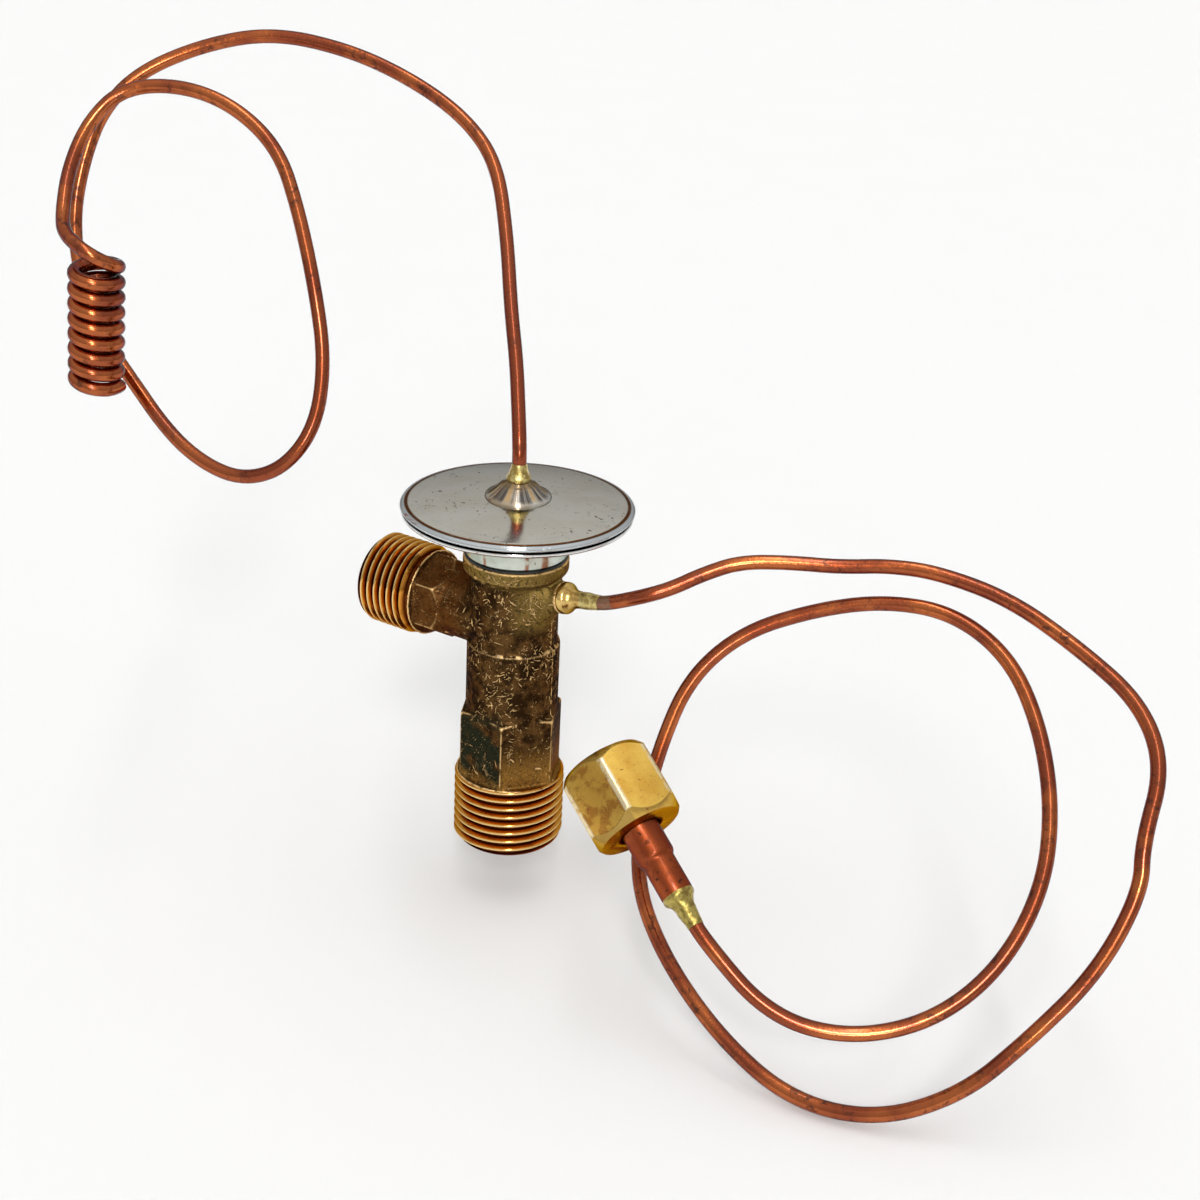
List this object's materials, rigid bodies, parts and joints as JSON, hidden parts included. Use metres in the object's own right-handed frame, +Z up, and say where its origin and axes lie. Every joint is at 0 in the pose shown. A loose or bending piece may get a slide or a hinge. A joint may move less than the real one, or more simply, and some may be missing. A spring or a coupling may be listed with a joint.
{
  "type": "thermostatic expansion valve",
  "caption": "Angle-type refrigerant expansion valve: brass body, round power head, coiled copper sensing tube, and copper equalizer tube with a loose flare nut.",
  "frame": {"origin": "middle of the outlet thread, on the valve's axis", "axes": "+Z up the valve's axis to the head, inlet port towards -X, equalizer boss towards +X"},
  "size_m": [0.2044, 0.0588, 0.1377],
  "materials": {
    "forged_brass": "forged, dark brown patina over gold scratches",
    "plated_steel": "bright zinc plate, slightly dulled",
    "copper": "drawn copper tube, copper colour",
    "braze": "yellow-green braze alloy",
    "turned_brass": "bright turned brass",
    "rubber": "moulded black rubber",
    "spring_steel": "bright spring steel",
    "stainless_sheet": "rolled stainless sheet"
  },
  "bodies": {
    "valve": {"valve_body": "forged_brass", "head_adapter": "plated_steel", "head_gasket": "rubber", "lower_case": "plated_steel", "diaphragm": "stainless_sheet", "upper_case": "plated_steel", "capillary_nipple": "plated_steel", "nipple_braze": "braze", "rod_seal": "rubber", "seal_retainer": "stainless_sheet", "superheat_spring": "spring_steel", "strainer_ring": "turned_brass", "strainer_screen": "stainless_sheet", "equalizer_nipple": "turned_brass", "equalizer_braze": "braze", "flare_stub": "copper", "stub_braze": "braze", "sensing_tube": "copper", "equalizer_tube": "copper"},
    "valve_train": {"diaphragm_pad": "turned_brass", "push_rod": "spring_steel", "valve_ball": "spring_steel", "ball_carrier": "turned_brass"},
    "adjuster": {"adjusting_nut": "turned_brass"},
    "tube_nut": {"flare_nut": "turned_brass"}
  },
  "joints": [
    {"name": "valve_lift", "type": "slide", "parent": "valve", "child": "valve_train", "axis": [0, 0, 1], "range_m": [-0.0006, 0], "stiffness_N_per_m": 6000, "springref_m": 0.003, "deforming": ["superheat_spring", "diaphragm"]},
    {"name": "superheat_adjust", "type": "hinge", "parent": "valve", "child": "adjuster", "pos_m": [0, 0, 0.0055], "axis": [0, 0, 1], "range_deg": [-180, 180]},
    {"name": "flare_nut_spin", "type": "hinge", "parent": "valve", "child": "tube_nut", "pos_m": [0.0342, -0.0182, 0.0209], "axis": [0.7934, -0.2888, -0.5358], "continuous": true}
  ]
}
